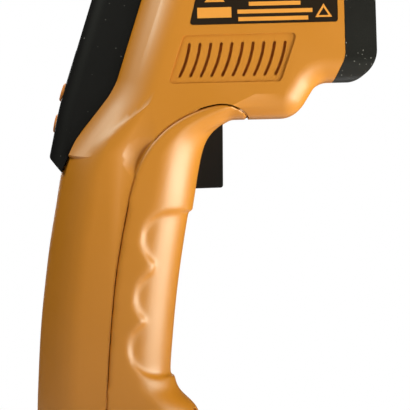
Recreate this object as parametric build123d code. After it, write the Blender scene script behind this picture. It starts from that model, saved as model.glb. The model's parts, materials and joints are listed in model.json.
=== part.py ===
# Infrared thermometer, pistol shaped: two moulded body halves, a black display bezel,
# a black nose ring, a trigger and a swinging battery door, with the works inside.
# Millimetres. +X is where the nose points, +Z is up, +Y is the left side.
# The origin is the centre of the flat base of the grip.
from build123d import *
from math import sin, cos, tan, radians
import os

os.makedirs("parts", exist_ok=True)

# ---- driving dimensions -------------------------------------------------
BARREL_HALF = 21.5        # half the width of the barrel
WALL = 2.2                # moulded wall
SEAM_GAP = 0.35           # gap all round the battery door
SLIM_GAP = 0.1            # gap between parts that are fixed to each other
GRIP_CORNER = 12.5        # rounding of the grip seen from above
BARREL_LOW_R = 7.0        # rounding along the underside of the barrel
BARREL_TOP_R = 8.5        # rounding along the top of the barrel
SHOULDER_R = 15.0         # rounding of the rear shoulders
BEZEL_HALF = 15.3         # half the width of the black display bezel
BEZEL_WALL = 2.0
RECESS_DEPTH = 1.1        # depth of the finger recess
VENT_DEPTH = 0.6
SLOT_DEPTH = 1.1          # the vent grooves are blind
LABEL_DEPTH = 0.5
SLOT_COUNT = 10
SLOT_PITCH = 3.15
SLOT_WIDTH = 0.87
LENS_Z = 133.0            # height of the lens axis
LENS_R = 9.5
LASER_Z = 119.4           # height of the laser axis
TRIGGER_HALF = 5.5
TRIGGER_PIVOT = (29.5, 106.2)
DOOR_PIVOT = (19.6, 7.2)
HEEL_R = 5.0              # round heel of the battery door
CELL_R = 5.25             # AAA cell
CELL_LENGTH = 44.5
CELL_Y = 5.6
CELL_CENTRE = (6.3, 48.0)
CELL_LEAN = 7.5           # degrees the cells lean forward
PCB_DEPTH = 9.0           # main board, behind the display face
PCB_T = 1.6
BUTTON_TRAVEL = 0.7

# Side lines of the grip, from the base up into the barrel: (x, z)
GRIP_FRONT = [(20.6, 0), (24.0, 4.5), (25.0, 9.5), (23.0, 14.2), (19.6, 17.5), (17.7, 21.5), (17.6, 27),
              (18.3, 34), (19.4, 43.7), (21.0, 54.9), (23.2, 67.4), (24.8, 76), (26.9, 87),
              (29.4, 93.5), (34.0, 97.6), (42, 101.3), (52, 106.2), (58, 109)]
GRIP_REAR = [(-21.6, 0), (-23.3, 5), (-23.7, 12), (-23.2, 22), (-21.8, 40), (-20.3, 52), (-18.5, 64),
             (-15.7, 79), (-14.6, 84.5), (-12.6, 89.5), (-8, 95), (0, 101), (7, 106)]
GRIP_TOP = 106.0
HALF_AT_BASE = 16.8
HALF_GROWTH = 0.0529      # how fast the grip widens going up

# Outlines in the X-Z plane, each with the rounding of its corners
BARREL = [(-6, 84.5), (10, 84.5), (36.0, 98.9), (55.6, 98.9), (62.3, 109.4),
          (100, 109.4), (100, 143.6), (13.9, 153.3), (-0.7, 110.0), (-15.8, 91.2)]
BARREL_RADII = [9, 14, 5, 8, 6, 0, 0, 0, 22, 0]
NOSE_PROFILE = [(-60, 60), (68.0, 60), (68.0, 109.35), (80.0, 109.35), (79.6, 170), (-60, 170)]
NOSE_RADII = [0, 0, 0, 9.0, 0, 0]
NOSE_SEAM = [(120, 60), (120, 170), (70.5, 170), (70.5, 116.0), (65.2, 106.0), (65.2, 60)]
NOSE_SEAM_RADII = [0, 0, 0, 9.0, 0, 0]
REAR_SEAM = [(17.6, 157.0), (1.7, 108.3), (-9.8, 94.4), (-14.6, 84.2), (-60, 84.2), (-60, 157.0)]
REAR_SEAM_RADII = [0, 20, 30, 0, 0, 0]
BEZEL_FACE = [(1.4, 153.2), (-14.6, 104.6), (-18.1, 88.6), (-14.6, 84.2), (-9.8, 94.4),
              (1.7, 108.3), (16.4, 153.2)]
BEZEL_RADII = [3.0, 120, 1.6, 0, 30, 20, 0]


def outline(points, radii):
    return make_face(FilletPolyline(*points, radius=radii, close=True))


def prism(face, half):
    # a face drawn in X-Z, extruded the same distance to both sides
    return extrude(Plane.XZ * face, amount=half, both=True)


def side_slab(face, y0, y1):
    # a face drawn in X-Z, extruded from y0 to y1
    return extrude(Plane.XZ.offset(-y1) * face, amount=y1 - y0)


def box_at(x0, x1, y0, y1, z0, z1):
    return Pos((x0 + x1) / 2, (y0 + y1) / 2, (z0 + z1) / 2) * Box(x1 - x0, y1 - y0, z1 - z0)


def rod_x(x0, x1, y, z, r):
    return Pos((x0 + x1) / 2, y, z) * Rot(0, 90, 0) * Cylinder(r, x1 - x0)


def rod_y(x, y0, y1, z, r):
    return Pos(x, (y0 + y1) / 2, z) * Rot(90, 0, 0) * Cylinder(r, y1 - y0)


def cone_x(x0, x1, z, r0, r1):
    return Pos((x0 + x1) / 2, 0, z) * Rot(0, 90, 0) * Cone(r0, r1, x1 - x0)


def x_at(line, height):
    # where a side line crosses a height, found by halving
    low = 0.0
    high = 1.0
    for _ in range(30):
        middle = (low + high) / 2
        if (line @ middle).Y < height:
            low = middle
        else:
            high = middle
    return (line @ low).X


def grip_solid(inset, floor, steps):
    # a loft through evenly spaced level rounded rectangles, trimmed flush with the barrel
    front_line = Spline(*GRIP_FRONT)
    rear_line = Spline(*GRIP_REAR)
    faces = []
    for i in range(steps + 1):
        height = floor + (GRIP_TOP - floor) * i / steps
        rear = x_at(rear_line, height) + inset
        front = x_at(front_line, height) - inset
        half = HALF_AT_BASE + HALF_GROWTH * height - inset
        level = RectangleRounded(front - rear, 2 * half, GRIP_CORNER - inset)
        faces.append(Plane.XY.offset(height) * Pos((rear + front) / 2, 0) * level)
    flanks = Pos(0, 0, 60) * Box(200, 2 * (BARREL_HALF - inset), 200)
    return loft(faces) & flanks


def barrel_solid(inset):
    # the same outline twice: once rounded at the rear, once along top and bottom
    face = outline(BARREL, BARREL_RADII)
    if inset > 0:
        face = offset(face, -inset)
    half = BARREL_HALF - inset
    rear = prism(face, half)
    edges = []
    for e in rear.edges():
        middle = e @ 0.5
        if abs(abs(middle.Y) - half) < 0.01 and middle.X < 13.5 and middle.Z > 91:
            edges.append(e)
    rear = fillet(edges, SHOULDER_R - inset)
    long = prism(face, half)
    low = []
    for e in long.edges():
        middle = e @ 0.5
        if abs(abs(middle.Y) - half) > 0.01 or middle.X > 95:
            continue
        if middle.Z < 91 or (middle.X > 12 and middle.Z < 112):
            low.append(e)
    long = fillet(low, BARREL_LOW_R - inset)
    edges = []
    for e in long.edges():
        middle = e @ 0.5
        if abs(abs(middle.Y) - half) < 0.01 and middle.Z > 139 and 16 < middle.X < 95:
            edges.append(e)
    long = fillet(edges, BARREL_TOP_R - inset)
    return rear & long


def keep(name, *shapes):
    # one STEP file per named piece
    solids = []
    for shape in shapes:
        for solid in shape.solids():
            solids.append(solid)
    print(name, len(solids), "solids", round(sum(solid.volume for solid in solids)), "mm3")
    export_step(Compound(children=solids), "parts/" + name + ".step")


def half_of(shape, side):
    # the half on one side of the parting plane; side is -1 for right, +1 for left
    slab = Pos(0, side * (30 + 0.02), 60) * Box(300, 60, 300)
    return shape & slab


# ---- master body --------------------------------------------------------
rear_cut = prism(outline(REAR_SEAM, REAR_SEAM_RADII), 40)
nose_front = prism(outline(NOSE_PROFILE, NOSE_RADII), 40)
nose_region = prism(outline(NOSE_SEAM, NOSE_SEAM_RADII), 40)
barrel_outer = barrel_solid(0) & nose_front
barrel_inner = barrel_solid(WALL)
grip_inner = grip_solid(WALL, WALL, 22)
body_outer = (barrel_outer - rear_cut) + (grip_solid(0, 0, 35) - rear_cut)
cavity = barrel_inner + grip_inner

# ---- battery door region: arched top, straight back edge, round heel ----
DOOR_LINE = [(41.7, 98.2), (41.0, 100.1), (38.7, 101.9), (34.6, 103.2), (29.0, 102.6),
             (22.2, 100.0), (15.8, 95.8), (10.5, 89.7), (7.0, 82.4), (4.2, 71.8),
             (0.8, 54.5), (-1.4, 36.5), (-2.8, 19.3), (-3.1, 11.5)]


def door_region(gap):
    # the door's outline, drawn in by the gap square to its line
    points = []
    last = len(DOOR_LINE) - 1
    for i, (x, z) in enumerate(DOOR_LINE):
        before = DOOR_LINE[max(i - 1, 0)]
        after = DOOR_LINE[min(i + 1, last)]
        run = Vector(after[0] - before[0], after[1] - before[1]).normalized()
        points.append((x - run.Y * gap, z + run.X * gap))
    edge = Spline(*points)
    foot = 8.2 + gap
    back = points[-1][0]
    low = points[0]
    heel = DOOR_PIVOT[0]
    rest = Polyline(points[-1], (back, foot + 2), (back + 2, foot), (heel, foot), (heel, 7.2), (60, 7.2),
                    (60, 90), (low[0], 90), low)
    face = make_face([edge] + rest.edges())
    return prism(face, 40) + prism(Pos(*DOOR_PIVOT) * Circle(HEEL_R + SEAM_GAP - gap), 40)


door_opening = door_region(0)
door_tool = door_region(SEAM_GAP)

# ---- housing ------------------------------------------------------------
shell = body_outer - cavity
housing = shell - nose_region - door_opening

# display bezel outline, which the housing makes room for
face_plane = Plane(origin=(-6.6, 0, 128.9), x_dir=(0, -1, 0), z_dir=(-0.9498, 0, 0.3127))
key_plane = Plane(origin=(-15.95, 0, 98.9), x_dir=(0, -1, 0), z_dir=(-0.977, 0, 0.2133))
bezel_face = outline(BEZEL_FACE, BEZEL_RADII)
bezel_block = prism(bezel_face, BEZEL_HALF)
for plane in (face_plane, key_plane):
    bar = extrude(RectangleRounded(2 * BEZEL_HALF, 80, 5), amount=120, both=True)
    bezel_block = bezel_block & (plane * (Pos(0, 0, -40) * Rot(90, 0, 0) * bar))
housing = housing - prism(offset(bezel_face, SLIM_GAP), BEZEL_HALF + SLIM_GAP)

# finger hollow beside the door, one on each side
for side in (-1, 1):
    housing = housing - Pos(10.5, side * (21.4 + 15.5), 87.1) * Sphere(17)

# vent panel and label recess on both sides
vent_face = outline([(22.7, 123.8), (56.6, 123.8), (51.4, 109.5), (17.8, 109.5)], [1.3] * 4)
label_face = outline([(24.5, 126.7), (68.6, 126.7), (68.6, 138.2), (27.5, 138.2)], [0.9] * 4)
slot = SlotArc(ThreePointArc((24.45, 121.0), (23.5, 116.7), (21.4, 111.7)), SLOT_WIDTH)
for side in (-1, 1):
    y_out = side * BARREL_HALF
    vent_floor = side * (BARREL_HALF - VENT_DEPTH)
    housing = housing - side_slab(vent_face, min(y_out, vent_floor), max(y_out, vent_floor))
    label_floor = side * (BARREL_HALF - LABEL_DEPTH)
    housing = housing - side_slab(label_face, min(y_out, label_floor), max(y_out, label_floor))
    groove_floor = side * (BARREL_HALF - VENT_DEPTH - SLOT_DEPTH)
    grooves = []
    for i in range(SLOT_COUNT):
        groove = Pos(i * SLOT_PITCH, 0) * slot
        grooves.append(side_slab(groove, min(y_out, groove_floor), max(y_out, groove_floor)))
    housing = housing - grooves

# ribs that carry the optics tube, the laser and the trigger switch
rib_room = cavity
tube_rib_1 = box_at(50.0, 51.6, -19.5, 19.5, 112, 152) & rib_room
tube_rib_2 = box_at(66.0, 67.6, -19.5, 19.5, 108, 152) & rib_room
tube_rib_1 = tube_rib_1 - rod_x(45, 55, 0, LENS_Z, 6.3) - rod_x(45, 55, 0.2, 118, 1.8)
tube_rib_2 = tube_rib_2 - rod_x(60, 70, 0, LENS_Z, 9.15) - rod_x(60, 70, 0, LASER_Z, 3.02)
switch_rib = (box_at(7.6, 9.2, -19.5, 19.5, 89.5, 97) & rib_room) + box_at(7.6, 9.2, -7, 7, 76, 90)
housing = housing + tube_rib_1 + tube_rib_2 + switch_rib

# trigger pin bosses and screw bosses
pin_x, pin_z = TRIGGER_PIVOT
for side in (-1, 1):
    boss = rod_y(pin_x, min(side * 6.3, side * 19.4), max(side * 6.3, side * 19.4), pin_z, 3.0)
    housing = housing + boss
housing = housing - rod_y(pin_x, -8.5, 8.5, pin_z, 1.5)
screw_places = [(46, 105.0), (54, 143.6), (20, 146.0), (-12.5, 62.0), (-15.0, 12.0)]
for x, z in screw_places:
    boss = rod_y(x, -19.6, 19.6, z, 3.2) & cavity
    housing = housing + boss
    housing = housing - rod_y(x, -9, 14.0, z, 1.22) - rod_y(x, 14.0, 25, z, 2.7)

# door hinge lugs standing on the floor of the grip
hinge_x, hinge_z = DOOR_PIVOT
lug_face = Pos(hinge_x, hinge_z) * Circle(3.2) + Pos(hinge_x - 4.5, hinge_z - 1.2) * Rectangle(9, 4.0)
lug_face = lug_face + Pos(hinge_x - 8.6, 3.6) * Rectangle(5, 5.2)
for side in (-1, 1):
    lug = side_slab(lug_face, min(side * 5.2, side * 8.8), max(side * 5.2, side * 8.8))
    housing = housing + (lug & body_outer)
housing = housing - rod_y(hinge_x, -9, 9, hinge_z, 1.0)
# rails behind the battery tray
cell_plane = Plane(origin=(CELL_CENTRE[0], 0, CELL_CENTRE[1]),
                   x_dir=(cos(radians(CELL_LEAN)), 0, -sin(radians(CELL_LEAN))),
                   z_dir=(sin(radians(CELL_LEAN)), 0, cos(radians(CELL_LEAN))))
for side in (-1, 1):
    rail = cell_plane * (Pos(-7.9, side * 15.2, 0) * Box(1.6, 10, 40))
    housing = housing + (rail & cavity)
# the base stays low in front of the heel, so that the door can swing right open
housing = housing - box_at(20.9, 30, -25, 25, 1.6, 7.2)
board_room = extrude(RectangleRounded(26.4, 58, 1), amount=3.0)
housing = housing - face_plane * (Pos(0, -5.9, -11.4) * board_room)
print("housing", round(housing.volume), housing.is_valid, len(housing.solids()))
keep("housing_right", half_of(housing, -1))
keep("housing_left", half_of(housing, 1))

# ---- battery door -------------------------------------------------------
door = (body_outer & door_tool) - cavity
hollow_face = Polyline((18.6, 71.8), (34, 71.8), (34, 22.9), (12.9, 22.6), (9.3, 39.4), (12.3, 55.1),
                       close=True)
hollow_face = make_face(hollow_face)
for x, z in [(17.6, 63.2), (15.1, 45.8), (12.9, 31.0)]:
    hollow_face = hollow_face + Pos(x, z) * Circle(8.5)
hollow_core = grip_solid(RECESS_DEPTH, 15, 30)
finger_cut = prism(hollow_face, 40) - hollow_core
door = door - finger_cut
heel_block = rod_y(hinge_x, -14.4, 14.4, hinge_z, HEEL_R) & body_outer
heel_web = box_at(hinge_x - 0.5, hinge_x + 5, -14.4, 14.4, hinge_z, hinge_z + 5) & body_outer
door = door + heel_block + heel_web
for side in (-1, 1):
    door = door - rod_y(hinge_x, min(side * 4.9, side * 9.1), max(side * 4.9, side * 9.1), hinge_z, 6.6)
door = door - rod_y(hinge_x, -13.2, 13.2, hinge_z, 1.05)
door = door - box_at(12, 34.3, -6.0, 6.0, 77.6, 106)
print("door", round(door.volume), door.is_valid, len(door.solids()))
keep("battery_door", door)
keep("door_hinge_pin", rod_y(hinge_x, -13.0, 13.0, hinge_z, 1.0))

# ---- nose ring, lens, laser ---------------------------------------------
nose = (barrel_outer & prism(offset(outline(NOSE_SEAM, NOSE_SEAM_RADII), -SLIM_GAP), 40))
nose_core = barrel_inner & prism(offset(outline(NOSE_PROFILE, NOSE_RADII), -WALL), 40)
nose = nose - nose_core
nose = nose + (rod_x(73.2, 77.8, 0, LENS_Z, LENS_R + 1.6) & (barrel_inner + nose))
nose = nose - cone_x(77.6, 80.2, LENS_Z, LENS_R - 0.7, LENS_R + 1.2)
nose = nose - rod_x(76.8, 78, 0, LENS_Z, LENS_R - 0.7)
nose = nose - rod_x(72, 76.8, 0, LENS_Z, LENS_R + 0.05)
nose = nose - rod_x(70, 82, 0, LASER_Z, 2.0)
print("nose", round(nose.volume), nose.is_valid, len(nose.solids()))
keep("nose_ring", nose)
keep("fresnel_lens", rod_x(75.3, 76.8, 0, LENS_Z, LENS_R))
keep("lens_clamp_ring", rod_x(73.6, 75.3, 0, LENS_Z, LENS_R) - rod_x(73, 76, 0, LENS_Z, LENS_R - 1.2))
keep("laser_window", rod_x(78.0, 78.9, 0, LASER_Z, 1.98))
laser = rod_x(60, 72.5, 0, LASER_Z, 3.0) + rod_x(58.4, 60, 0, LASER_Z, 2.2)
keep("laser_module", laser - rod_x(69, 73, 0, LASER_Z, 1.2))

# ---- infrared optics ----------------------------------------------------
tube = cone_x(46, 66, LENS_Z, 5.3, 8.6) + rod_x(66, 73.3, 0, LENS_Z, 9.1)
tube = tube + rod_x(49.8, 51.8, 0, LENS_Z, 6.25)
tube = tube - cone_x(45.9, 66, LENS_Z, 4.45, 7.6) - rod_x(65.9, 74, 0, LENS_Z, 7.8)
keep("optics_tube", tube)
sensor = rod_x(45.2, 48.6, 0, LENS_Z, 4.1) + rod_x(44.5, 45.2, 0, LENS_Z, 4.6)
for angle in (45, 135, 225, 315):
    sensor = sensor + rod_x(42.0, 44.5, 2.5 * cos(radians(angle)), LENS_Z + 2.5 * sin(radians(angle)), 0.22)
keep("thermopile_sensor", sensor)
sensor_board = box_at(42.9, 44.5, -8, 8, LENS_Z - 8, LENS_Z + 8)
for angle in (45, 135, 225, 315):
    hole = rod_x(42, 45, 2.5 * cos(radians(angle)), LENS_Z + 2.5 * sin(radians(angle)), 0.24)
    sensor_board = sensor_board - hole
keep("sensor_board", sensor_board)

# ---- display end --------------------------------------------------------


def on_face(x, y, depth, shape, plane=face_plane):
    # x to the right and y up as the user sees the display, depth into the bezel
    return plane * (Pos(x, y, -depth) * shape)


def plate(x, y, wide, high, near, far, corner=0.5, plane=face_plane):
    block = extrude(RectangleRounded(wide, high, corner), amount=far - near)
    return on_face(x, y, far, block, plane)


bezel_core = offset(bezel_face, -BEZEL_WALL)
bezel_front = prism(outline([(30, 80), (30, 157), (14.2, 157), (-1.6, 108.3), (-13.2, 94.6), (-19, 84)],
                            [0, 0, 0, 20, 30, 0]), 40)
inner = prism(bezel_core, BEZEL_HALF - BEZEL_WALL)
inner = inner + (prism(bezel_face, BEZEL_HALF - BEZEL_WALL) & bezel_front
                 & box_at(-30, 40, -20, 20, 88, 151))
bezel = bezel_block - inner
bezel = bezel - plate(0, 5.5, 24.2, 29.2, -1, 1.2, 1.5) - plate(0, 5.5, 22, 27, -1, 4, 1.0)
KEYS = [(6.5, -22.0, face_plane), (-6.5, -22.0, face_plane), (0, 0, key_plane)]
KEY_SIZE = (4.8, 2.8)
for x, y, plane in KEYS:
    hole = extrude(Ellipse(KEY_SIZE[0] + 0.25, KEY_SIZE[1] + 0.25), amount=6)
    bezel = bezel - on_face(x, y, 4, hole, plane)
print("bezel", round(bezel.volume), bezel.is_valid, len(bezel.solids()))
keep("display_bezel", bezel)
keep("display_window", plate(0, 5.5, 24, 29, 0.15, 1.2, 1.4))
keep("lcd_glass", plate(0, 5.5, 22.2, 27.2, 2.6, 4.8, 0.3))
keep("backlight", plate(0, 5.5, 21.6, 22.6, 5.0, 7.6, 0.5))
frame = plate(0, 5.5, 25.2, 31.2, 2.2, PCB_DEPTH, 1.0) - plate(0, 5.5, 22.4, 27.4, 1.0, 10.0, 0.4)
keep("lcd_frame", frame)
keep("contact_strips", plate(0, 5.5 + 12.6, 20, 1.6, 4.8, PCB_DEPTH, 0.3),
     plate(0, 5.5 - 12.6, 20, 1.6, 4.8, PCB_DEPTH, 0.3))
board = plate(0, -5.9, 25.4, 56.0, PCB_DEPTH, PCB_DEPTH + PCB_T, 1.2)
keep("main_board", board)
chips = [plate(0, 4, 9, 9, PCB_DEPTH + PCB_T, 12.4, 0.3), plate(-7, -10, 5, 4, PCB_DEPTH + PCB_T, 12.0, 0.2),
         plate(6, -11, 4, 5, PCB_DEPTH + PCB_T, 12.0, 0.2),
         plate(7, 15, 3.2, 2.5, PCB_DEPTH + PCB_T, 13.2, 0.2)]
keep("board_chips", *chips)
switches = []
for x, y, plane in KEYS:
    low = y if plane is face_plane else -30.4
    switches.append(plate(x, low, 6, 6 if y else 5, 5.8, PCB_DEPTH, 0.3)
                    + on_face(x, low, 5.8, extrude(Circle(1.6), amount=0.8)))
keep("key_switches", *switches)
names = ["key_upper_right", "key_upper_left", "key_lower"]
for name, (x, y, plane) in zip(names, KEYS):
    cap = extrude(Ellipse(*KEY_SIZE), amount=3.0)
    cap = fillet(cap.faces().sort_by(Axis.Z)[-1].edges(), 0.6)
    cap = cap + Pos(0, 0, -0.8) * extrude(Ellipse(KEY_SIZE[0] + 0.7, KEY_SIZE[1] + 0.7), amount=0.8)
    cap = cap + Pos(0, 0, -1.4) * extrude(Circle(1.5), amount=0.7)
    keep(name, plane * (Pos(x, y, -2.3) * cap))

# ---- labels -------------------------------------------------------------
label_fit = offset(label_face, -0.1)
for name, side in (("label_right", -1), ("label_left", 1)):
    inner_y = side * (BARREL_HALF - LABEL_DEPTH)
    outer_y = side * (BARREL_HALF - 0.02)
    keep(name, side_slab(label_fit, min(inner_y, outer_y), max(inner_y, outer_y)))

# ---- trigger ------------------------------------------------------------
trigger_face = Polyline((33.45, 78.5), (22.2, 78.4), (22.2, 98.5), (25.6, 106.0), (33.4, 106.0),
                        (33.8, 97.5), close=True)
trigger_face = fillet(make_face(trigger_face).vertices().sort_by(Axis.Y)[:2], 0.8)
trigger_face = trigger_face + Pos(pin_x, pin_z) * Circle(4.0)
trigger = prism(trigger_face, TRIGGER_HALF) - rod_y(pin_x, -10, 10, pin_z, 1.55)
trigger = trigger - rod_x(21, 23.4, 0, 93.5, 2.9)
keep("trigger", trigger)
keep("trigger_pin", rod_y(pin_x, -8.4, 8.4, pin_z, 1.5))
turns = Helix(pitch=1.9, height=13.0, radius=2.2)
spring_plane = Plane(origin=(9.6, 0, 93.5), x_dir=(0, 1, 0), z_dir=(1, 0, 0))
wire = sweep(Plane(origin=turns @ 0, z_dir=turns % 0) * Circle(0.25), path=turns)
keep("trigger_spring", spring_plane * wire)
keep("switch_board", box_at(9.2, 10.4, -6, 6, 77, 90))
microswitch = box_at(10.4, 16.9, -2.9, 2.9, 77.6, 90.2) + rod_x(16.9, 18.8, 0, 84, 1.2)
keep("trigger_switch", microswitch)

# ---- battery bay --------------------------------------------------------
def in_bay(x, y, z, shape):
    return cell_plane * (Pos(x, y, z) * shape)


tray = in_bay(-6.3, 0, 0, Box(1.4, 26.4, 55))
for side in (-1, 1):
    tray = tray + in_bay(-1.8, 0, side * 26.8, Box(9.6, 23.4, 1.4))
    tray = tray + in_bay(-3.6, side * 11.7, 0, Box(6.0, 1.2, 55))
tray = tray + in_bay(-4.1, 0, 0, Box(3.2, 0.9, 53))
keep("battery_tray", tray)


def cell(y, up):
    can = Cylinder(CELL_R, CELL_LENGTH - 1.2)
    nub = Pos(0, 0, up * (CELL_LENGTH / 2)) * Cylinder(1.9, 1.2)
    return in_bay(0, y, 0, Pos(0, 0, -up * 0.6) * can + Pos(0, 0, -up * 0.6) * nub)


keep("battery_1", cell(-CELL_Y, 1))
keep("battery_2", cell(CELL_Y, -1))
contacts = []
springs = []
for y, up in ((-CELL_Y, 1), (CELL_Y, -1)):
    spring_end = -up * 26.1
    contacts.append(in_bay(0.0, y, spring_end + up * 0.15, Box(7, 7, 0.3)))
    button = Box(7, 7, 0.3) + Pos(0, 0, -up * 1.85) * Cylinder(2.0, 3.4)
    contacts.append(in_bay(0.0, y, up * 25.95, button))
    coil = Helix(pitch=1.0, height=2.8, radius=2.8)
    wire = sweep(Plane(origin=coil @ 0, z_dir=coil % 0) * Circle(0.28), path=coil)
    if up < 0:
        wire = Pos(0, 0, 22.6) * wire
    else:
        wire = Pos(0, 0, -25.4) * wire
    springs.append(in_bay(0.0, y, 0, wire))
keep("battery_contacts", *contacts)
keep("battery_springs", *springs)

# ---- screws, buzzer, leads ----------------------------------------------
screws = []
for x, z in screw_places:
    screw = rod_y(x, -8.5, 14.0, z, 1.2) + rod_y(x, 14.0, 15.8, z, 2.4)
    slot_bar = box_at(x - 0.35, x + 0.35, 15.0, 16, z - 1.7, z + 1.7)
    cross_bar = box_at(x - 1.7, x + 1.7, 15.0, 16, z - 0.35, z + 0.35)
    screws.append(screw - slot_bar - cross_bar)
keep("housing_screws", *screws)
keep("buzzer", rod_y(37.0, -19.28, -14.8, 116.6, 6.0))


def lead(radius, *points):
    # straight runs joined by tangent arcs, each arc as large as its two runs allow
    spots = [Vector(*p) for p in points]
    radii = []
    for before, here, after in zip(spots, spots[1:], spots[2:]):
        turn = (here - before).get_angle(after - here)
        shorter = min((here - before).length, (after - here).length)
        radii.append(0.45 * shorter / tan(radians(turn / 2)))
    path = FilletPolyline(*points, radius=radii)
    return sweep(Plane(origin=path @ 0, z_dir=path % 0) * Circle(radius), path=path)


for name, side in (("battery_lead_red", -1), ("battery_lead_black", 1)):
    keep(name, lead(0.6, (-0.6, side * 6, 75.8), (-3, side * 7, 82), (-4, side * 8, 92),
                    (-3.6, side * 8.4, 100), (-1.5, side * 8, 104)))
keep("sensor_lead", lead(0.8, (42.3, 0, 128), (38, 0, 127), (24, 0, 134), (12, 0, 136.5), (7.6, 0, 136.2)))
keep("laser_lead", lead(0.6, (58.2, 0, LASER_Z), (52, 0, 118), (36, 3, 118), (18, 4, 120), (5, 4, 121.5)))
keep("switch_lead", lead(0.6, (10.0, 4.5, 90.2), (10.6, 5.5, 98.5), (6, 6, 104), (1.4, 5, 108)))
keep("buzzer_lead", lead(0.5, (37, -14.3, 119), (32, -12, 121), (20, -8, 118), (4.2, -6, 117.5)))
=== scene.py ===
# %% [markdown]
# # A pistol shaped infrared thermometer
# The body is two moulded shells of warm orange plastic that meet on the middle plane.
# A black nose ring holds the lens, a black bezel at the rear holds the display and the keys,
# and the front of the grip is a door that swings down over the batteries.
# Everything sits in one frame: metres, +X towards the nose, +Z up, +Y the left side.

# %% Load the frame
import json
import math
import bpy
import bmesh
from mathutils import Matrix, Vector

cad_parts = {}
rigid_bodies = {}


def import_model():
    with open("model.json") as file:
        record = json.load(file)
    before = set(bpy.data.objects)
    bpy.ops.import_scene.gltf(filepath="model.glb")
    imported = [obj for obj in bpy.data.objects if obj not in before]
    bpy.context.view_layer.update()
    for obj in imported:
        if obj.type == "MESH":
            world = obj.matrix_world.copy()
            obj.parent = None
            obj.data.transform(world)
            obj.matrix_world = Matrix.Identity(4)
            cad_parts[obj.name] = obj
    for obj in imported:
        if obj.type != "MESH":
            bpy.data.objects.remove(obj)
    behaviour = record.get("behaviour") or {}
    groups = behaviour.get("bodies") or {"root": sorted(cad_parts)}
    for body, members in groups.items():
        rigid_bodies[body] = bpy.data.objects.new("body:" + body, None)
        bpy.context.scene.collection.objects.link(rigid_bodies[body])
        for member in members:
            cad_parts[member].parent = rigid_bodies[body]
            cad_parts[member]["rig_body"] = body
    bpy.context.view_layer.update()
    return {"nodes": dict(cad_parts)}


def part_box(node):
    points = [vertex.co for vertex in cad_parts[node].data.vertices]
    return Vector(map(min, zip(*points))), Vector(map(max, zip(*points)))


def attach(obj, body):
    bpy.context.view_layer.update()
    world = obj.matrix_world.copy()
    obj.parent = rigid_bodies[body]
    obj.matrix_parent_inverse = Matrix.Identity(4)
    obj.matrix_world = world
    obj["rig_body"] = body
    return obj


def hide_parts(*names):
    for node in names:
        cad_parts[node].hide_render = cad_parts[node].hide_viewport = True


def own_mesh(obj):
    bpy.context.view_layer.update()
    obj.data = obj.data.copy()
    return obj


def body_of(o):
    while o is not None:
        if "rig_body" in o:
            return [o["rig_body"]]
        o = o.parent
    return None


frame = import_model()
nodes = frame["nodes"]
MM = 0.001


# %% [markdown]
# ## Finishes
# Moulded plastic is never one flat colour. It carries a fine spark-eroded grain from the
# mould, slow changes of gloss, and a slight mottle where the pigment is uneven.
# One small recipe covers all of it: a fine noise drives the bump, a slow noise drives the
# colour and the gloss. The noise reads Object coordinates, so it stays with the piece.

# %% A recipe for moulded finishes
def finish_of(name, colour, gloss, grain=0.0, grain_size=0.3, mottle=0.0, mottle_size=14.0,
              **sockets):
    """Sizes are in millimetres. gloss is the roughness; mottle is how far the colour drifts."""
    material = bpy.data.materials.new(name)
    material.use_nodes = True
    tree = material.node_tree
    shader = tree.nodes["Principled BSDF"]
    place = tree.nodes.new("ShaderNodeTexCoord")
    slow = tree.nodes.new("ShaderNodeTexNoise")
    slow.inputs["Scale"].default_value = 1 / (mottle_size * MM)
    slow.inputs["Detail"].default_value = 4
    tree.links.new(place.outputs["Object"], slow.inputs["Vector"])
    shader.inputs["Base Color"].default_value = (*colour, 1)
    if mottle:
        ramp = tree.nodes.new("ShaderNodeMix")
        ramp.data_type = "RGBA"
        ramp.inputs["A"].default_value = [c * (1 - mottle) for c in colour] + [1]
        ramp.inputs["B"].default_value = [min(1.0, c * (1 + mottle)) for c in colour] + [1]
        tree.links.new(slow.outputs["Fac"], ramp.inputs["Factor"])
        tree.links.new(ramp.outputs["Result"], shader.inputs["Base Color"])
    spread = tree.nodes.new("ShaderNodeMapRange")
    spread.inputs["To Min"].default_value = max(0.02, gloss * 0.88)
    spread.inputs["To Max"].default_value = min(1.0, gloss * 1.12)
    tree.links.new(slow.outputs["Fac"], spread.inputs["Value"])
    tree.links.new(spread.outputs["Result"], shader.inputs["Roughness"])
    if grain:
        fine = tree.nodes.new("ShaderNodeTexNoise")
        fine.inputs["Scale"].default_value = 1 / (grain_size * MM)
        fine.inputs["Detail"].default_value = 3
        tree.links.new(place.outputs["Object"], fine.inputs["Vector"])
        bump = tree.nodes.new("ShaderNodeBump")
        bump.inputs["Strength"].default_value = grain
        bump.inputs["Distance"].default_value = 0.05 * MM
        tree.links.new(fine.outputs["Fac"], bump.inputs["Height"])
        tree.links.new(bump.outputs["Normal"], shader.inputs["Normal"])
    for socket, value in sockets.items():
        shader.inputs[socket.replace("_", " ")].default_value = value
    return material


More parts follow.
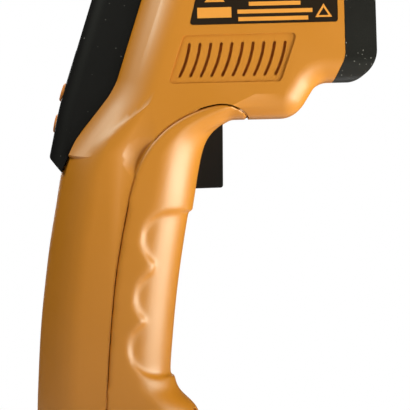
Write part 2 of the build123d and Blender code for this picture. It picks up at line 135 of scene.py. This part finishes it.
orange = finish_of("orange_shell", (0.52, 0.181, 0.005), 0.43,
                   grain=0.15, mottle=0.03, Specular_IOR_Level=0.95)
orange_door = finish_of("orange_door", (0.54, 0.189, 0.006), 0.43,
                        grain=0.15, mottle=0.03, Specular_IOR_Level=0.95)
black_bezel = finish_of("bezel_black", (0.007, 0.0065, 0.007), 0.55,
                        grain=0.35, mottle=0.15, Specular_IOR_Level=0.12)
black_trigger = finish_of("trigger_black", (0.011, 0.010, 0.010), 0.36,
                          grain=0.25, mottle=0.1, Specular_IOR_Level=0.18)
key_rubber = finish_of("key_rubber", (0.60, 0.19, 0.020), 0.55, grain=0.4, mottle=0.05)
label_film = finish_of("label_film", (0.018, 0.011, 0.007), 0.3,
                       grain=0.1, mottle=0.1, Specular_IOR_Level=0.3)
black_inside = finish_of("inside_black", (0.012, 0.012, 0.012), 0.6, grain=0.5, mottle=0.1)
white_inside = finish_of("inside_white", (0.62, 0.61, 0.57), 0.5, grain=0.2, mottle=0.03)
tray_black = finish_of("tray_black", (0.02, 0.02, 0.022), 0.5, grain=0.3, mottle=0.08)
diffuser_milk = finish_of("diffuser_milk", (0.80, 0.82, 0.82), 0.5, grain=0.1, mottle=0.02)
chip_black = finish_of("chip_black", (0.015, 0.015, 0.016), 0.55, grain=0.5, mottle=0.1)
print("plain finishes:", len(bpy.data.materials))


# %% [markdown]
# ## Metals, glass and rubber leads
# Nickel and steel differ from plastic by their Metallic socket.
# The windows are clear acrylic, so they take Transmission, and the lens is milky polythene,
# the plastic that lets heat rays through. Lead jackets are soft PVC with a low sheen.

# %% Metal, clear and lead finishes
nickel = finish_of("nickel_plate", (0.66, 0.64, 0.60), 0.24, grain=0.1, mottle=0.05, Metallic=1.0)
steel = finish_of("steel_pin", (0.55, 0.55, 0.56), 0.3, grain=0.2, mottle=0.05, Metallic=1.0)
screw_steel = finish_of("screw_zinc", (0.42, 0.42, 0.44), 0.34,
                        grain=0.3, mottle=0.12, Metallic=1.0)
sensor_can = finish_of("sensor_can", (0.70, 0.69, 0.66), 0.2, grain=0.1, mottle=0.04, Metallic=1.0)
brass = finish_of("brass_tube", (0.72, 0.47, 0.19), 0.28, grain=0.2, mottle=0.08, Metallic=1.0)
clear_cover = finish_of("clear_cover", (0.96, 0.97, 0.97), 0.05,
                        Transmission_Weight=1.0, IOR=1.49)
milky_lens = finish_of("milky_lens", (0.70, 0.71, 0.70), 0.32, grain=0.1, mottle=0.03,
                       Transmission_Weight=0.45, IOR=1.51)
lcd_sheet = finish_of("lcd_sheet", (0.30, 0.34, 0.27), 0.18, mottle=0.03)
segment_ink = finish_of("segment_ink", (0.035, 0.042, 0.036), 0.3, mottle=0.05)
strip_rubber = finish_of("strip_rubber", (0.55, 0.24, 0.25), 0.6, grain=0.3, mottle=0.05)
red_jacket = finish_of("red_jacket", (0.52, 0.016, 0.012), 0.38, grain=0.15, mottle=0.06)
black_jacket = finish_of("black_jacket", (0.012, 0.012, 0.012), 0.38, grain=0.15, mottle=0.06)
grey_jacket = finish_of("grey_jacket", (0.21, 0.21, 0.22), 0.42, grain=0.15, mottle=0.06)
print("all plain finishes:", len(bpy.data.materials))


# %% [markdown]
# ## The dusty black nose
# The nose ring is a soft black moulding, and soft black shows every grain of dust.
# A cell pattern gives one point per cell; a ramp keeps only the tight middle of a cell,
# and a slow noise thins the specks out so that they lie in drifts.

# %% Nose finish with dust
DRIFT_SIZE = 6.0
black_nose = finish_of("nose_black", (0.011, 0.0100, 0.0095), 0.40,
                       grain=0.5, grain_size=0.35, mottle=0.12, Specular_IOR_Level=0.3)


def dust_on(material, spacing, radius, dust_colour):
    """spacing is in millimetres; radius is a share of the spacing."""
    tree = material.node_tree
    shader = tree.nodes["Principled BSDF"]
    under = shader.inputs["Base Color"].links[0].from_socket
    place = next(n for n in tree.nodes if n.type == "TEX_COORD")
    cells = tree.nodes.new("ShaderNodeTexVoronoi")
    cells.inputs["Scale"].default_value = 1 / (spacing * MM)
    tree.links.new(place.outputs["Object"], cells.inputs["Vector"])
    speck = tree.nodes.new("ShaderNodeMapRange")
    speck.inputs["From Min"].default_value = radius * 0.6
    speck.inputs["From Max"].default_value = radius
    speck.inputs["To Min"].default_value = 1
    speck.inputs["To Max"].default_value = 0
    tree.links.new(cells.outputs["Distance"], speck.inputs["Value"])
    drift = tree.nodes.new("ShaderNodeTexNoise")
    drift.inputs["Scale"].default_value = 1 / (DRIFT_SIZE * MM)
    tree.links.new(place.outputs["Object"], drift.inputs["Vector"])
    thin = tree.nodes.new("ShaderNodeMapRange")
    thin.inputs["From Min"].default_value = 0.48
    thin.inputs["From Max"].default_value = 0.62
    tree.links.new(drift.outputs["Fac"], thin.inputs["Value"])
    both = tree.nodes.new("ShaderNodeMath")
    both.operation = "MULTIPLY"
    tree.links.new(speck.outputs["Result"], both.inputs[0])
    tree.links.new(thin.outputs["Result"], both.inputs[1])
    over = tree.nodes.new("ShaderNodeMix")
    over.data_type = "RGBA"
    over.inputs["B"].default_value = dust_colour
    tree.links.new(both.outputs["Value"], over.inputs["Factor"])
    tree.links.new(under, over.inputs["A"])
    tree.links.new(over.outputs["Result"], shader.inputs["Base Color"])


dust_on(black_nose, 1.3, 0.17, (0.30, 0.28, 0.27, 1))
dust_on(black_bezel, 2.4, 0.10, (0.16, 0.15, 0.15, 1))
print("nose finish nodes:", len(black_nose.node_tree.nodes))


# %% [markdown]
# ## Circuit board and battery wraps
# A board is green solder mask over copper tracks, so a brick pattern seen through a mask
# colour gives the tracks as slightly lighter lines. A battery has a printed sleeve: a long
# dark part and a coppery top, divided across its axis. A gradient along that axis needs a
# Mapping node, because the cells lean forward with the grip.

# %% Board and cell finishes
TRACK_SPACING = 5.0
board_green = finish_of("board_green", (0.012, 0.105, 0.045), 0.32)
board_tree = board_green.node_tree
tracks = board_tree.nodes.new("ShaderNodeTexBrick")
tracks.inputs["Color1"].default_value = (0.012, 0.105, 0.045, 1)
tracks.inputs["Color2"].default_value = (0.014, 0.120, 0.050, 1)
tracks.inputs["Mortar"].default_value = (0.05, 0.22, 0.09, 1)
tracks.inputs["Scale"].default_value = 1 / (TRACK_SPACING * MM)
tracks.inputs["Mortar Size"].default_value = 0.05
turn_board = board_tree.nodes.new("ShaderNodeMapping")
turn_board.inputs["Rotation"].default_value = (math.radians(90), 0, math.radians(90))
board_place = next(n for n in board_tree.nodes if n.type == "TEX_COORD")
board_tree.links.new(board_place.outputs["Object"], turn_board.inputs["Vector"])
board_tree.links.new(turn_board.outputs["Vector"], tracks.inputs["Vector"])
board_tree.links.new(tracks.outputs["Color"],
                     board_tree.nodes["Principled BSDF"].inputs["Base Color"])

CELL_LEAN = math.radians(7.5)
CELL_HALF_LENGTH = 22.5
CELL_MIDDLE = Vector((6.3, 0.0, 48.0)) * MM
cell_wrap = finish_of("cell_wrap", (0.02, 0.02, 0.022), 0.22, mottle=0.05, Coat_Weight=0.4)
wrap_tree = cell_wrap.node_tree
along = wrap_tree.nodes.new("ShaderNodeMapping")
along.vector_type = "TEXTURE"
along.inputs["Location"].default_value = CELL_MIDDLE
along.inputs["Rotation"].default_value = (0, CELL_LEAN, 0)
split = wrap_tree.nodes.new("ShaderNodeSeparateXYZ")
bands = wrap_tree.nodes.new("ShaderNodeValToRGB")
reach = wrap_tree.nodes.new("ShaderNodeMapRange")
reach.inputs["From Min"].default_value = -CELL_HALF_LENGTH * MM
reach.inputs["From Max"].default_value = CELL_HALF_LENGTH * MM
bands.color_ramp.interpolation = "CONSTANT"
bands.color_ramp.elements[0].color = (0.60, 0.58, 0.55, 1)
bands.color_ramp.elements[1].position = 0.03
bands.color_ramp.elements[1].color = (0.015, 0.016, 0.02, 1)
for position, colour in ((0.70, (0.85, 0.84, 0.80, 1)), (0.72, (0.55, 0.25, 0.07, 1)),
                         (0.96, (0.60, 0.58, 0.55, 1))):
    bands.color_ramp.elements.new(position).color = colour
wrap_place = next(n for n in wrap_tree.nodes if n.type == "TEX_COORD")
wrap_tree.links.new(wrap_place.outputs["Object"], along.inputs["Vector"])
wrap_tree.links.new(along.outputs["Vector"], split.inputs["Vector"])
wrap_tree.links.new(split.outputs["Z"], reach.inputs["Value"])
wrap_tree.links.new(reach.outputs["Result"], bands.inputs["Fac"])
wrap_tree.links.new(bands.outputs["Color"],
                    wrap_tree.nodes["Principled BSDF"].inputs["Base Color"])
print("board and cell finishes ready")


# %% [markdown]
# ## Give every part its finish
# The parts from the frame keep their shape. Each takes one finish, by its name.

# %% Finish for each part
finish_for = {
    orange: ["housing_right", "housing_left"],
    orange_door: ["battery_door"],
    black_bezel: ["display_bezel"],
    black_nose: ["nose_ring"],
    black_trigger: ["trigger"],
    key_rubber: ["key_upper_right", "key_upper_left", "key_lower"],
    label_film: ["label_right", "label_left"],
    clear_cover: ["display_window", "laser_window"],
    milky_lens: ["fresnel_lens"],
    black_inside: ["lens_clamp_ring", "optics_tube"],
    white_inside: ["lcd_frame"],
    lcd_sheet: ["lcd_glass"],
    diffuser_milk: ["backlight"],
    strip_rubber: ["contact_strips"],
    board_green: ["main_board", "sensor_board", "switch_board"],
    chip_black: ["board_chips", "key_switches", "trigger_switch", "buzzer"],
    tray_black: ["battery_tray"],
    cell_wrap: ["battery_1", "battery_2"],
    nickel: ["battery_contacts", "battery_springs", "trigger_spring"],
    steel: ["trigger_pin", "door_hinge_pin"],
    screw_steel: ["housing_screws"],
    sensor_can: ["thermopile_sensor"],
    brass: ["laser_module"],
    red_jacket: ["battery_lead_red"],
    black_jacket: ["battery_lead_black", "buzzer_lead"],
    grey_jacket: ["sensor_lead", "laser_lead", "switch_lead"],
}
finish_name = {}
for finish, names in finish_for.items():
    for name in names:
        finish_name[name] = finish
        part = nodes[name]
        if not part.material_slots:
            part.data.materials.append(finish)
        for material_slot in part.material_slots:
            material_slot.material = finish
print("parts without a finish:", sorted(set(nodes) - set(finish_name)))


# %% [markdown]
# ## Soft edges
# A mould can't make a knife edge, so every corner of the real shells is slightly round and catches
# a thin line of light. The frame's parts have sharp corners. A copy of each shell, the bezel, the
# nose and the trigger is merged into one skin, its flat triangles are dissolved, and its sharp
# edges are bevelled; faces are shaded smooth up to the crease angle.

# %% Helpers for copies of the parts
MERGE = 0.001 * MM


def merged_skin(name):
    """A part's loose triangles as one joined bmesh."""
    skin = bmesh.new()
    skin.from_mesh(nodes[name].data)
    bmesh.ops.remove_doubles(skin, verts=skin.verts, dist=MERGE)
    bmesh.ops.dissolve_degenerate(skin, edges=skin.edges, dist=MERGE)
    return skin


def shade(skin, crease):
    """Smooth, but for the edges that turn by more than the crease angle and open ones."""
    for face in skin.faces:
        face.smooth = True
    for edge in skin.edges:
        edge.smooth = edge.is_manifold and edge.calc_face_angle(0) < crease


def piece_from(skin, name, finish, body):
    """Turns a bmesh into a finished piece that rides on one body."""
    mesh = bpy.data.meshes.new(name)
    skin.to_mesh(mesh)
    skin.free()
    if "custom_normal" in mesh.attributes:
        mesh.attributes.remove(mesh.attributes["custom_normal"])
    mesh.materials.clear()
    mesh.materials.append(finish)
    for face in mesh.polygons:
        face.material_index = 0
    piece = bpy.data.objects.new(name, mesh)
    bpy.context.scene.collection.objects.link(piece)
    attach(piece, body)
    return piece


print("helpers: merged_skin, shade, piece_from")

# %% Bevelled copies of the moulded parts
FLAT_ENOUGH = math.radians(0.6)


def soften(node, name, width, steps=2, corner=40):
    """Replaces a part by a copy whose corners over `corner` degrees are round."""
    skin = merged_skin(node)
    body = body_of(nodes[node])[0]
    bmesh.ops.dissolve_limit(skin, angle_limit=FLAT_ENOUGH,
                             verts=skin.verts, edges=skin.edges)
    shade(skin, math.radians(corner))
    piece = piece_from(skin, name, finish_name[node], body)
    bevel = piece.modifiers.new("round_edges", "BEVEL")
    bevel.width = width * MM
    bevel.segments = steps
    bevel.limit_method = "ANGLE"
    bevel.angle_limit = math.radians(corner)
    bevel.use_clamp_overlap = True
    bevel.harden_normals = False
    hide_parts(node)
    print(name, len(piece.data.polygons), "faces")


for side in ("right", "left"):
    soften("housing_" + side, "shell_" + side, 0.3)
soften("display_bezel", "bezel_skin", 0.4)
soften("nose_ring", "nose_skin", 0.5)
soften("trigger", "trigger_skin", 0.9, steps=3)


# %% [markdown]
# ## The door with its finger scallops
# The front of the grip has a hollow with a scalloped rear edge for the fingers. On the real
# moulding its walls are soft slopes, not steps. The door is remade as an even skin of small
# faces, and the vertices around the hollow are relaxed many times, which turns the step
# into a slope; the rest of the door is relaxed only a little.

# %% Helpers for an even, relaxed skin
def even_skin(node, grid):
    """A voxel remesh of a part, as a bmesh."""
    skin = merged_skin(node)
    mesh = bpy.data.meshes.new("even")
    skin.to_mesh(mesh)
    skin.free()
    holder = bpy.data.objects.new("even", mesh)
    bpy.context.scene.collection.objects.link(holder)
    remesh = holder.modifiers.new("grid", "REMESH")
    remesh.mode = "VOXEL"
    remesh.voxel_size = grid * MM
    bpy.context.view_layer.update()
    graph = bpy.context.evaluated_depsgraph_get()
    evened = bpy.data.meshes.new_from_object(holder.evaluated_get(graph))
    bpy.data.objects.remove(holder)
    fresh = bmesh.new()
    fresh.from_mesh(evened)
    return fresh


def relax(skin, verts):
    """Moves each vertex halfway to the middle of its neighbours."""
    bmesh.ops.smooth_vert(skin, verts=verts, factor=0.5,
                          use_axis_x=True, use_axis_y=True, use_axis_z=True)


print("helpers: even_skin, relax")

# %% The door
DOOR_GRID = 0.48
ALL_OVER_PASSES = 3
HOLLOW_PASSES = 14
HOLLOW_BOTTOM, HOLLOW_TOP = 19, 75
FLANK_AT_FOOT = 11
FLANK_LEAN = 0.05


def beside_hollow(point):
    """True on the outer flanks, which widen with height."""
    height = point.z / MM
    flank = FLANK_AT_FOOT + FLANK_LEAN * height
    return HOLLOW_BOTTOM < height < HOLLOW_TOP and abs(point.y) / MM > flank


door = even_skin("battery_door", DOOR_GRID)
for _ in range(ALL_OVER_PASSES):
    relax(door, door.verts)
hollow = [v for v in door.verts if beside_hollow(v.co)]
for _ in range(HOLLOW_PASSES):
    relax(door, hollow)
for face in door.faces:
    face.smooth = True
door_piece = piece_from(door, "door_skin", orange_door, "door")
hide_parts("battery_door")
print("door", len(door_piece.data.polygons), "faces,", len(hollow), "relaxed vertices")


# %% [markdown]
# ## The tongue in the door's seam
# Two mouldings that meet are keyed with a tongue a little below the surface, so one never
# sees into the dark inside through the gap. The walls of the door that face the seam are
# copied, drawn inwards from the surface and given a thickness that nearly fills the gap.

# %% Seam tongue
SEAM_GAP = 0.35
TONGUE_DEPTH = 0.35
SEAM_BOTTOM, SEAM_TOP, SEAM_FRONT = 14, 101.6, 41
ARCH_START = 76
FLANK = 12


def faces_seam(face):
    """True for a wall across the shell's seam, which also looks up once the arch starts."""
    middle = face.calc_center_median() / MM
    n = face.normal
    rearward = n.x < -0.2 or (n.z > 0.2 and middle.z > ARCH_START)
    along_seam = SEAM_BOTTOM < middle.z < SEAM_TOP and middle.x < SEAM_FRONT
    return abs(n.y) < 0.02 and rearward and along_seam and abs(middle.y) > FLANK


tongue = merged_skin("battery_door")
other_faces = [face for face in tongue.faces if not faces_seam(face)]
bmesh.ops.delete(tongue, geom=other_faces, context="FACES")
print("seam wall faces", len(tongue.faces))
for vert in tongue.verts:
    vert.co.y -= math.copysign(TONGUE_DEPTH * MM, vert.co.y)
shade(tongue, math.radians(30))
tongue_piece = piece_from(tongue, "seam_tongue", orange_door, "door")
fill = tongue_piece.modifiers.new("thickness", "SOLIDIFY")
fill.thickness = (SEAM_GAP - 0.05) * MM
fill.offset = 1


# %% [markdown]
# ## The trigger's return spring
# The spring stands between the switch rib and the trigger, and on the real tool it shortens as the
# trigger is pulled. The coil here is a copy of the part's own mesh with mesh data of its own; it
# rides on the body and does not squash.

# %% Spring coil
coil = merged_skin("trigger_spring")
shade(coil, math.radians(40))
coil_piece = piece_from(coil, "coil_spring", nickel, "body")
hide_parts("trigger_spring")
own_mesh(coil_piece)


# %% [markdown]
# ## Printing on the label
# The label is a dark film with a few marks in the body's orange. Ink has a little
# thickness, so each mark is a flat outline pushed out by a few hundredths of a millimetre.
# Both sides carry the same marks: three bars, a plain box and two open triangles.

# %% Label marks
INK_INSIDE = 21.47
INK_OUTSIDE = 21.50
label_ink = finish_of("label_ink", (0.72, 0.285, 0.048), 0.35, mottle=0.02)


def ring_of(skin, points, y):
    """A closed ring of edges."""
    ring = [skin.verts.new((x * MM, y * MM, z * MM)) for x, z in points]
    return [skin.edges.new(pair) for pair in zip(ring, ring[1:] + ring[:1])]


def raise_ink(skin, points, hole=None):
    """A flat outline in X-Z, on the right side, with a wall to give the ink its thickness."""
    rim = ring_of(skin, points, -INK_INSIDE)
    if hole:
        rim += ring_of(skin, hole, -INK_INSIDE)
        made = bmesh.ops.bridge_loops(skin, edges=rim)["faces"]
    else:
        made = bmesh.ops.contextual_create(skin, geom=rim)["faces"]
    grown = bmesh.ops.extrude_face_region(skin, geom=made)["geom"]
    moved = [v for v in grown if isinstance(v, bmesh.types.BMVert)]
    bmesh.ops.translate(skin, verts=moved, vec=(0, -(INK_OUTSIDE - INK_INSIDE) * MM, 0))


def box_points(x0, x1, z0, z1):
    return [(x0, z0), (x1, z0), (x1, z1), (x0, z1)]


for node in ("label_right", "label_left"):
    marks = bmesh.new()
    raise_ink(marks, box_points(27.0, 37.1, 128.7, 131.8))
    raise_ink(marks, box_points(42.3, 57.6, 132.0, 133.2))
    raise_ink(marks, box_points(38.9, 61.1, 129.75, 130.95))
    raise_ink(marks, box_points(39.1, 59.8, 127.55, 128.75))
    raise_ink(marks, [(64.4, 132.2), (61.9, 128.2), (66.9, 128.2)],
              [(64.4, 131.1), (62.9, 128.75), (65.9, 128.75)])
    raise_ink(marks, [(32.2, 137.2), (29.2, 133.4), (35.2, 133.4)],
              [(32.2, 136.0), (30.3, 134.0), (34.1, 134.0)])
    if node == "label_left":
        bmesh.ops.scale(marks, verts=marks.verts, vec=(1, -1, 1))
    bmesh.ops.recalc_face_normals(marks, faces=marks.faces)
    piece_from(marks, node + "_print", label_ink, "body")
print("label marks on both sides")


# %% [markdown]
# ## The lens
# The lens in the nose is a Fresnel lens: a flat milky disc whose face is cut into rings,
# each a slope of a thick lens. A saw tooth profile spun once about the lens axis makes it.

# %% Fresnel lens
lens_low, lens_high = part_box("fresnel_lens")
lens_radius = (lens_high.z - lens_low.z) / 2
lens_height = (lens_high.z + lens_low.z) / 2
RINGS = 11
RIDGE_TIP = 0.05 * MM
GROOVE_DEPTH = 0.35 * MM
DRAFT = 0.05 * MM
lens_skin = bmesh.new()
profile = [(lens_low.x, 0.0), (lens_low.x, lens_radius)]
for ring in range(RINGS, 0, -1):
    outer_edge = lens_radius * ring / RINGS
    profile.append((lens_high.x - RIDGE_TIP, outer_edge))
    profile.append((lens_high.x - GROOVE_DEPTH, outer_edge - DRAFT))
profile.append((lens_high.x - RIDGE_TIP, 0.0))
points = [lens_skin.verts.new((x, 0, lens_height + r)) for x, r in profile]
line = [lens_skin.edges.new(pair) for pair in zip(points, points[1:])]
bmesh.ops.spin(lens_skin, geom=points + line, cent=(0, 0, lens_height), axis=(1, 0, 0),
               angle=math.tau, steps=72, use_merge=True)
bmesh.ops.remove_doubles(lens_skin, verts=lens_skin.verts, dist=0.002 * MM)
bmesh.ops.recalc_face_normals(lens_skin, faces=lens_skin.faces)
shade(lens_skin, math.radians(25))
lens_piece = piece_from(lens_skin, "ringed_lens", milky_lens, "body")
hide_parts("fresnel_lens")
print("lens faces", len(lens_piece.data.polygons))


# %% [markdown]
# ## The display
# A switched-on segment display shows dark bars on a grey-green sheet. Each digit is seven
# bars, and each bar is a long hexagon. The bars lie just in front of the glass, in the plane
# of the rear face, so they are drawn flat and then carried there by one matrix.

# %% A place for flat shapes on the rear face
face_out = Vector((-0.9498, 0, 0.3127)).normalized()
face_right = Vector((0, -1, 0))
face_up = face_out.cross(face_right)
face_place = Matrix((
    (face_right.x, face_up.x, face_out.x, -6.6 * MM),
    (face_right.y, face_up.y, face_out.y, 0.0),
    (face_right.z, face_up.z, face_out.z, 128.9 * MM),
    (0, 0, 0, 1)))
print("rear face leans back", round(math.degrees(math.asin(face_out.z)), 1), "degrees")

# %% Display segments
SEGMENTS = {"0": "abcdef", "1": "bc", "2": "abged", "3": "abgcd", "4": "fgbc", "6": "afgedc",
            "C": "afed"}
BAR_DEPTH = 2.58
BAR_THICK = 0.05


def flat_shape(skin, points, depth, thick):
    loop = [skin.verts.new((x * MM, y * MM, -depth * MM)) for x, y in points]
    face = skin.faces.new(loop)
    grown = bmesh.ops.extrude_face_region(skin, geom=[face])["geom"]
    moved = [v for v in grown if isinstance(v, bmesh.types.BMVert)]
    bmesh.ops.translate(skin, verts=moved, vec=(0, 0, thick * MM))


def bar(skin, x, y, length, width, upright):
    a = length / 2
    w = width / 2
    shape = [(-a, 0), (-a + w, w), (a - w, w), (a, 0), (a - w, -w), (-a + w, -w)]
    if upright:
        shape = [(-v, u) for u, v in shape]
    flat_shape(skin, [(x + u, y + v) for u, v in shape], BAR_DEPTH, BAR_THICK)


def digit(skin, letter, x, y, wide, high):
    bar_width = wide * 0.2
    half = high / 2
    spots = {"a": (0, half, False), "g": (0, 0, False), "d": (0, -half, False),
             "f": (-wide / 2, half / 2, True), "b": (wide / 2, half / 2, True),
             "e": (-wide / 2, -half / 2, True), "c": (wide / 2, -half / 2, True)}
    for key in SEGMENTS[letter]:
        u, v, upright = spots[key]
        bar(skin, x + u, y + v, (half if upright else wide) * 0.94, bar_width, upright)


screen = bmesh.new()
for letter, x in (("2", -6.2), ("4", -0.6), ("6", 5.0)):
    digit(screen, letter, x, 5.6, 3.7, 7.6)
flat_shape(screen, box_points(1.9, 2.6, 1.6, 2.3), BAR_DEPTH, BAR_THICK)
digit(screen, "C", 8.9, 7.6, 1.5, 3.0)
for letter, x in (("3", -2.4), ("1", 0.8), ("0", 4.0)):
    digit(screen, letter, x, -4.4, 1.9, 3.6)
for x in (-8.6, -6.6, -4.6):
    flat_shape(screen, box_points(x, x + 1.4, 13.6, 14.8), BAR_DEPTH, BAR_THICK)
bmesh.ops.transform(screen, matrix=face_place, verts=screen.verts)
bmesh.ops.recalc_face_normals(screen, faces=screen.faces)
piece_from(screen, "display_segments", segment_ink, "body")
print("display segments done")


# %% [markdown]
# ## Marks on the keys
# Each key has a plain dark mark: a triangle up, a triangle down and a dot. The marks ride
# with their keys.

# %% Key marks
key_ink = finish_of("key_ink", (0.02, 0.02, 0.02), 0.5, mottle=0.02)
key_out = Vector((-0.977, 0, 0.2133)).normalized()
key_up = key_out.cross(face_right)
key_place = Matrix((
    (face_right.x, key_up.x, key_out.x, -15.95 * MM),
    (face_right.y, key_up.y, key_out.y, 0.0),
    (face_right.z, key_up.z, key_out.z, 98.9 * MM),
    (0, 0, 0, 1)))
KEY_TOP = 0.70
MARK_THICK = 0.03
DOT_RADIUS = 0.95
UP = [(-1.1, -0.8), (1.1, -0.8), (0, 1.1)]
DOWN = [(-1.1, 0.8), (0, -1.1), (1.1, 0.8)]
DOT = [(DOT_RADIUS * math.cos(math.tau * i / 20), DOT_RADIUS * math.sin(math.tau * i / 20))
       for i in range(20)]
for name, body, place, x, y, shape in (
        ("mark_upper_right", "key_a", face_place, 6.5, -22.0, UP),
        ("mark_upper_left", "key_b", face_place, -6.5, -22.0, DOWN),
        ("mark_lower", "key_c", key_place, 0.0, 0.0, DOT)):
    mark = bmesh.new()
    flat_shape(mark, [(x + u, y + v) for u, v in shape], -KEY_TOP, MARK_THICK)
    bmesh.ops.transform(mark, matrix=place, verts=mark.verts)
    bmesh.ops.recalc_face_normals(mark, faces=mark.faces)
    piece_from(mark, name, key_ink, body)
print("key marks done")


# %% [markdown]
# ## Floor, light and camera
# Small products are lit in a white room. A big soft box low in front of the nose gives the
# bright front edges and grazes the flat side. A small strip behind and above draws the
# highlight over the rear shoulder. A wide box overhead and one on the far side keep the
# floor and the other views bright. The world looks white to the camera but shines only
# dimly, so the shaded rear of the grip stays deep.

# %% Floor
FLOOR_RADIUS = 0.25
floor_skin = bmesh.new()
bmesh.ops.create_circle(floor_skin, cap_ends=True, segments=96, radius=FLOOR_RADIUS)
floor_mesh = bpy.data.meshes.new("floor")
floor_skin.to_mesh(floor_mesh)
floor_skin.free()
floor = bpy.data.objects.new("floor", floor_mesh)
bpy.context.scene.collection.objects.link(floor)
floor_paper = finish_of("floor_paper", (0.80, 0.80, 0.80), 0.7, grain=0.1, mottle=0.01)
floor_mesh.materials.append(floor_paper)
print("floor radius", FLOOR_RADIUS, "m")

# %% White surroundings
LIGHT_SHARE = 0.02
world = bpy.data.worlds.new("white_room")
bpy.context.scene.world = world
world.use_nodes = True
sky = world.node_tree
backdrop = sky.nodes["Background"]
backdrop.inputs["Color"].default_value = (1, 1, 1, 1)
strength = sky.nodes.new("ShaderNodeMapRange")
strength.inputs["To Min"].default_value = LIGHT_SHARE
strength.inputs["To Max"].default_value = 1.0
ray = sky.nodes.new("ShaderNodeLightPath")
sky.links.new(ray.outputs["Is Camera Ray"], strength.inputs["Value"])
sky.links.new(strength.outputs["Result"], backdrop.inputs["Strength"])
bpy.context.scene.view_settings.view_transform = "Standard"
print("white to the camera, dim as a light")

# %% Lamps
def lamp(name, position, target, size, size_y, power, colour=(1, 1, 1)):
    """A soft box that the camera doesn't see. Sizes in metres, power in watts."""
    light = bpy.data.lights.new(name, "AREA")
    light.shape = "RECTANGLE"
    light.size = size
    light.size_y = size_y
    light.energy = power
    light.color = colour
    holder = bpy.data.objects.new(name, light)
    bpy.context.scene.collection.objects.link(holder)
    holder.location = position
    holder.rotation_euler = (Vector(target) - Vector(position)).to_track_quat("-Z", "Y").to_euler()
    holder.visible_camera = False


WARM = (0.96, 1.0, 0.84)
MIDDLE = (0.028, 0.0, 0.078)
SHOULDER = (0.005, -0.020, 0.120)
lamp("right_box", (0.45, -0.21, -0.03), MIDDLE, 0.50, 0.30, 6.4, WARM)
lamp("left_strip", (-0.11, -0.12, 0.235), SHOULDER, 0.14, 0.06, 0.34, WARM)
lamp("top_box", (0.05, 0.12, 0.95), MIDDLE, 0.7, 0.5, 3.0)
lamp("far_side", (-0.15, 0.95, 0.40), MIDDLE, 0.6, 0.5, 5)
print("lamps:", len(bpy.data.lights))

# %% Camera
DISTANCE = 1.6
VIEW_WIDTH = 0.123
SENSOR_WIDTH = 36
AIM_X, AIM_Z = 0.0279, 0.0734
ROLL = math.radians(1.4)
eye = bpy.data.cameras.new("camera")
eye.sensor_width = SENSOR_WIDTH
eye.lens = SENSOR_WIDTH * DISTANCE / VIEW_WIDTH
eye.clip_start = 0.05
camera = bpy.data.objects.new("camera", eye)
bpy.context.scene.collection.objects.link(camera)
camera.matrix_world = (Matrix.Translation((AIM_X, -DISTANCE, AIM_Z))
                       @ Matrix.Rotation(ROLL, 4, "Y")
                       @ Matrix.Rotation(math.radians(90), 4, "X"))
bpy.context.scene.camera = camera
print("camera lens", round(eye.lens), "mm")
